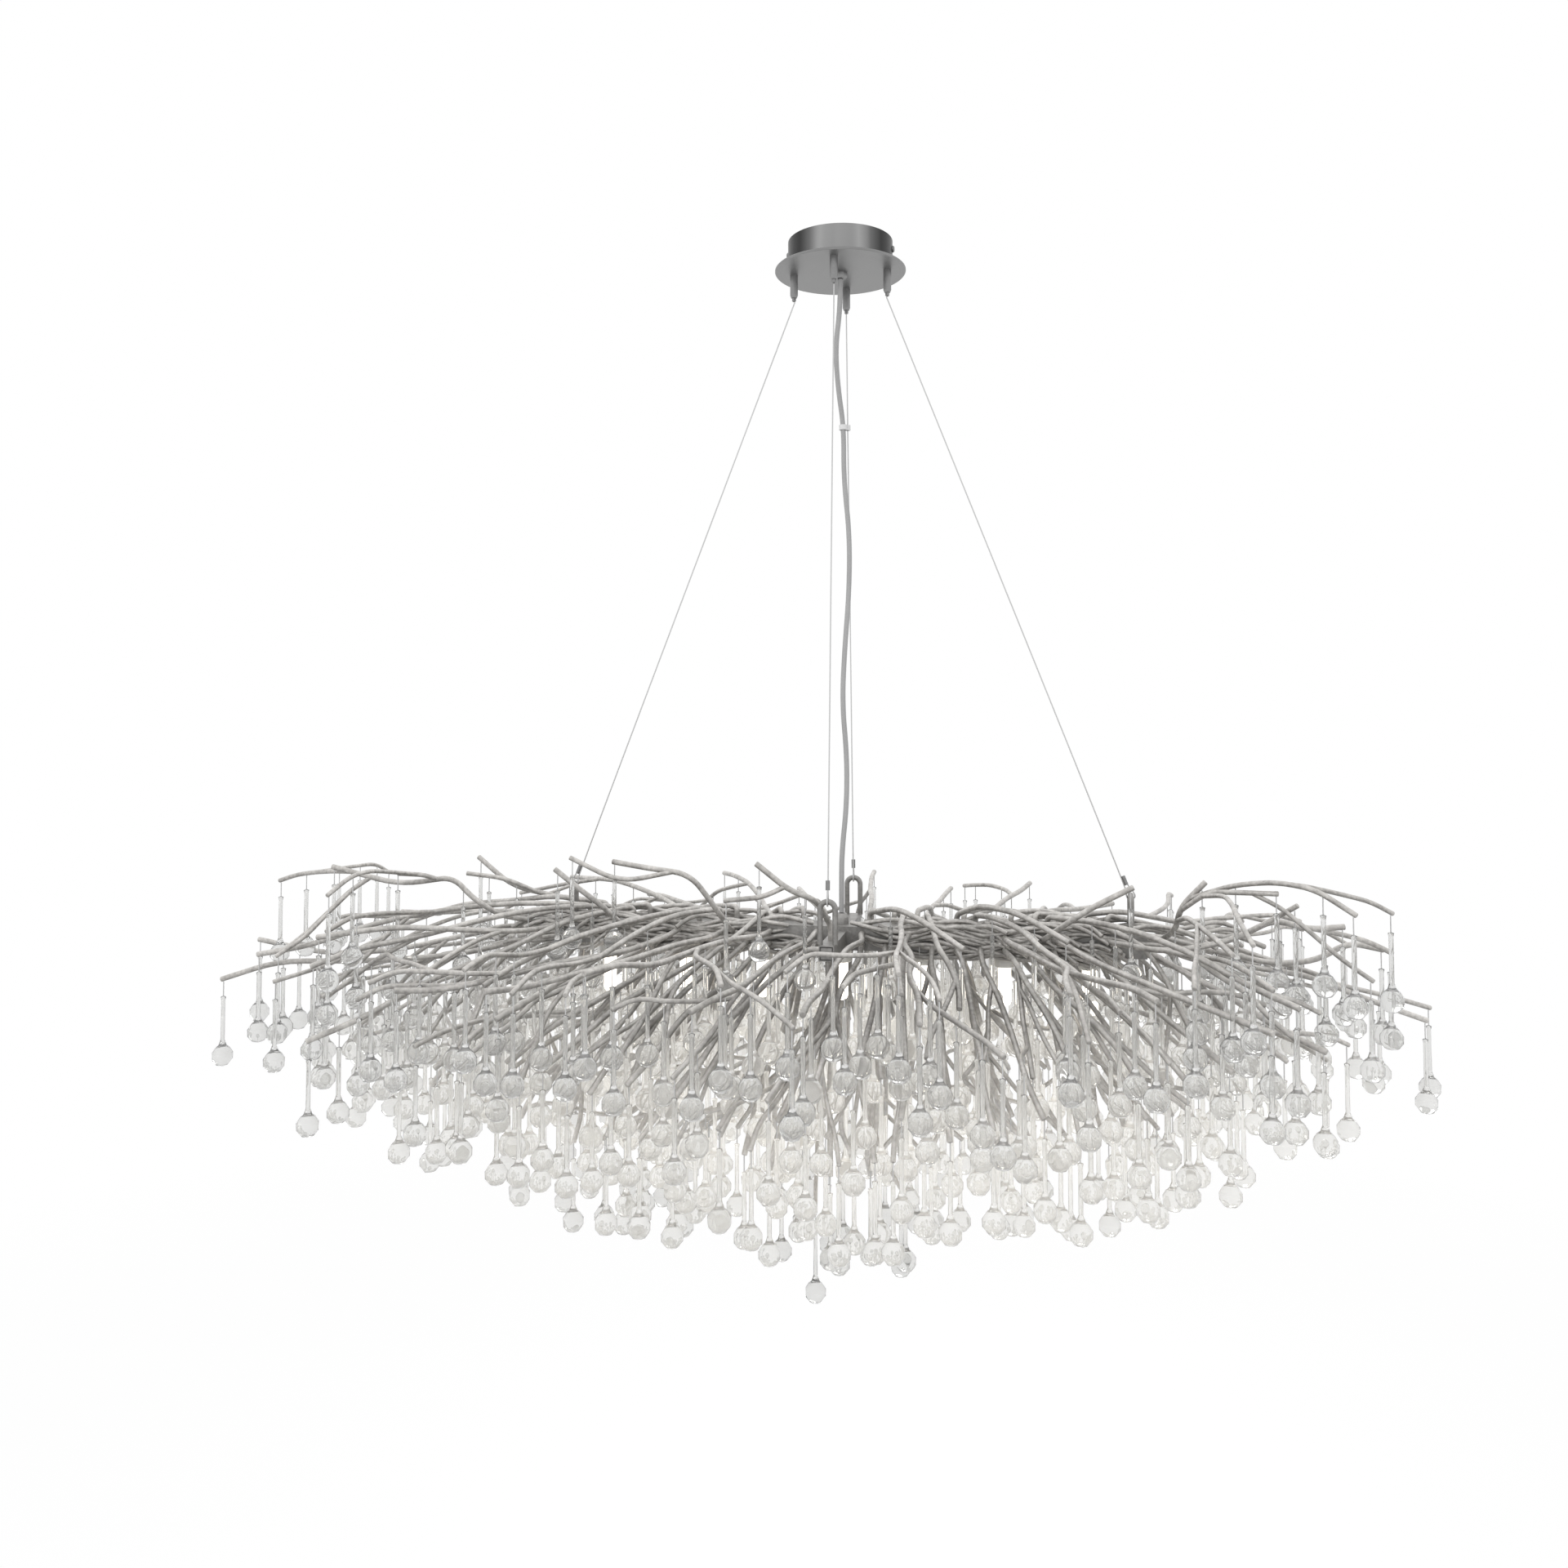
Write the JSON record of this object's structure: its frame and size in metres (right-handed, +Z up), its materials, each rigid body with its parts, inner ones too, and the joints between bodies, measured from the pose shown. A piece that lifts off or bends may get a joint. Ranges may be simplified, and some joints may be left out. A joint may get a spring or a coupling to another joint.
{
  "type": "crystal chandelier",
  "caption": "Oblong branch chandelier: bent nickel rods spread from a hidden spine, a clear glass drop on each tip, hung from a round canopy on steel wires.",
  "frame": {"origin": "the middle of the bracket's ceiling face, over the canopy's middle", "axes": "+Z up to the ceiling, +X along the spine to the viewer's right, front faces -Y"},
  "size_m": [1.3756, 0.669, 1.1869],
  "materials": {
    "satin_nickel": "satin nickel plate, softly brushed",
    "satin_canopy": "satin nickel plate",
    "plated_steel": "nickel plated",
    "steel_wire": "stainless wire",
    "clear_glass": "clear, polished",
    "grey_cord": "grey sleeve",
    "clear_plastic": "pale",
    "white_plastic": "moulded",
    "lead_sleeve": "sleeved leads",
    "white_ceramic": "unglazed",
    "lit_lamp": "frosted, lit warm white"
  },
  "bodies": {
    "canopy": {"ceiling_bracket": "plated_steel", "canopy_cup": "satin_canopy", "canopy_plate": "satin_canopy", "side_screws": "plated_steel", "terminal_block": "white_plastic", "cord_gland": "satin_canopy", "gland_nut": "plated_steel", "wire_grippers": "plated_steel", "gripper_nuts": "plated_steel"},
    "plunger_left": {"gripper_plunger_left": "plated_steel"},
    "plunger_right": {"gripper_plunger_right": "plated_steel"},
    "plunger_front": {"gripper_plunger_front": "plated_steel"},
    "plunger_back": {"gripper_plunger_back": "plated_steel"},
    "wire_left": {"suspension_wire_left": "steel_wire", "wire_ferrule_left": "plated_steel"},
    "wire_right": {"suspension_wire_right": "steel_wire", "wire_ferrule_right": "plated_steel"},
    "wire_front": {"suspension_wire_front": "steel_wire", "wire_ferrule_front": "plated_steel"},
    "wire_back": {"suspension_wire_back": "steel_wire", "wire_ferrule_back": "plated_steel"},
    "cord": {"power_cord": "grey_cord", "cord_clip": "clear_plastic"},
    "crown": {"spine_channel": "satin_nickel", "spine_cover": "satin_nickel", "spine_end_caps": "satin_nickel", "cover_screws": "plated_steel", "crossbars": "satin_nickel", "cord_inlet": "satin_nickel", "junction_block": "white_plastic", "inner_wiring": "lead_sleeve", "lamp_holders": "white_ceramic", "lamp_bulbs": "lit_lamp", "hanging_loops_long": "satin_nickel", "hanging_loops_cross": "satin_nickel", "arching_arms": "satin_nickel", "crown_rods": "satin_nickel", "drops_back_left": "clear_glass", "drops_back_right": "clear_glass", "drops_front_left": "clear_glass", "drops_front_right": "clear_glass", "links_back": "steel_wire", "links_front": "steel_wire", "lower_arms": "satin_nickel", "twigs_back_left": "satin_nickel", "twigs_back_right": "satin_nickel", "twigs_front_left": "satin_nickel", "twigs_front_right": "satin_nickel", "under_arms": "satin_nickel", "upper_arms": "satin_nickel"},
    "drop_1": {"swing_drop_1": "clear_glass", "swing_link_1": "steel_wire"},
    "drop_2": {"swing_drop_2": "clear_glass", "swing_link_2": "steel_wire"},
    "drop_3": {"swing_drop_3": "clear_glass", "swing_link_3": "steel_wire"},
    "drop_4": {"swing_drop_4": "clear_glass", "swing_link_4": "steel_wire"},
    "drop_5": {"swing_drop_5": "clear_glass", "swing_link_5": "steel_wire"}
  },
  "joints": [
    {"name": "frame_swing", "type": "hinge", "parent": "canopy", "child": "crown", "pos_m": [0, 0, 0.58279], "axis": [1, 0, 0], "range_deg": [-1.2, 1.2]},
    {"name": "wire_left_tilt", "type": "hinge", "parent": "canopy", "child": "wire_left", "pos_m": [-0.054, 0, -0.0656], "axis": [1, 0, 0], "range_deg": [-2.5, 2.5]},
    {"name": "wire_right_tilt", "type": "hinge", "parent": "canopy", "child": "wire_right", "pos_m": [0.054, 0, -0.0656], "axis": [1, 0, 0], "range_deg": [-2.5, 2.5]},
    {"name": "wire_front_tilt", "type": "hinge", "parent": "canopy", "child": "wire_front", "pos_m": [0, -0.054, -0.0656], "axis": [1, 0, 0], "range_deg": [-2.5, 2.5]},
    {"name": "wire_back_tilt", "type": "hinge", "parent": "canopy", "child": "wire_back", "pos_m": [0, 0.054, -0.0656], "axis": [1, 0, 0], "range_deg": [-2.5, 2.5]},
    {"name": "cord_tilt", "type": "hinge", "parent": "canopy", "child": "cord", "pos_m": [0, 0, -0.0424], "axis": [1, 0, 0], "range_deg": [-2.5, 2.5]},
    {"name": "plunger_left_push", "type": "slide", "parent": "canopy", "child": "plunger_left", "axis": [0, 0, 1], "range_m": [0, 0.002], "stiffness_N_per_m": 200, "springref_m": -0.001},
    {"name": "plunger_right_push", "type": "slide", "parent": "canopy", "child": "plunger_right", "axis": [0, 0, 1], "range_m": [0, 0.002], "stiffness_N_per_m": 200, "springref_m": -0.001},
    {"name": "plunger_front_push", "type": "slide", "parent": "canopy", "child": "plunger_front", "axis": [0, 0, 1], "range_m": [0, 0.002], "stiffness_N_per_m": 200, "springref_m": -0.001},
    {"name": "plunger_back_push", "type": "slide", "parent": "canopy", "child": "plunger_back", "axis": [0, 0, 1], "range_m": [0, 0.002], "stiffness_N_per_m": 200, "springref_m": -0.001},
    {"name": "drop_1_swing", "type": "hinge", "parent": "crown", "child": "drop_1", "pos_m": [-0.58474, -0.06006, -0.72201], "axis": [0, 1, 0], "range_deg": [-10, 10]},
    {"name": "drop_2_swing", "type": "hinge", "parent": "crown", "child": "drop_2", "pos_m": [-0.55707, -0.13966, -0.78882], "axis": [0, 1, 0], "range_deg": [-10, 10]},
    {"name": "drop_3_swing", "type": "hinge", "parent": "crown", "child": "drop_3", "pos_m": [-0.70377, -0.08981, -0.84843], "axis": [0, 1, 0], "range_deg": [-10, 10]},
    {"name": "drop_4_swing", "type": "hinge", "parent": "crown", "child": "drop_4", "pos_m": [0.51568, -0.06189, -0.76051], "axis": [0, 1, 0], "range_deg": [-10, 10]},
    {"name": "drop_5_swing", "type": "hinge", "parent": "crown", "child": "drop_5", "pos_m": [0.6221, 0.04448, -0.87238], "axis": [0, 1, 0], "range_deg": [-10, 10]}
  ],
  "couplings": [
    {"joint": "wire_left_tilt", "follows": "frame_swing", "ratio": 1.9643},
    {"joint": "wire_right_tilt", "follows": "frame_swing", "ratio": 1.9643},
    {"joint": "wire_front_tilt", "follows": "frame_swing", "ratio": 1.9643},
    {"joint": "wire_back_tilt", "follows": "frame_swing", "ratio": 1.9643},
    {"joint": "cord_tilt", "follows": "frame_swing", "ratio": 1.8663}
  ]
}
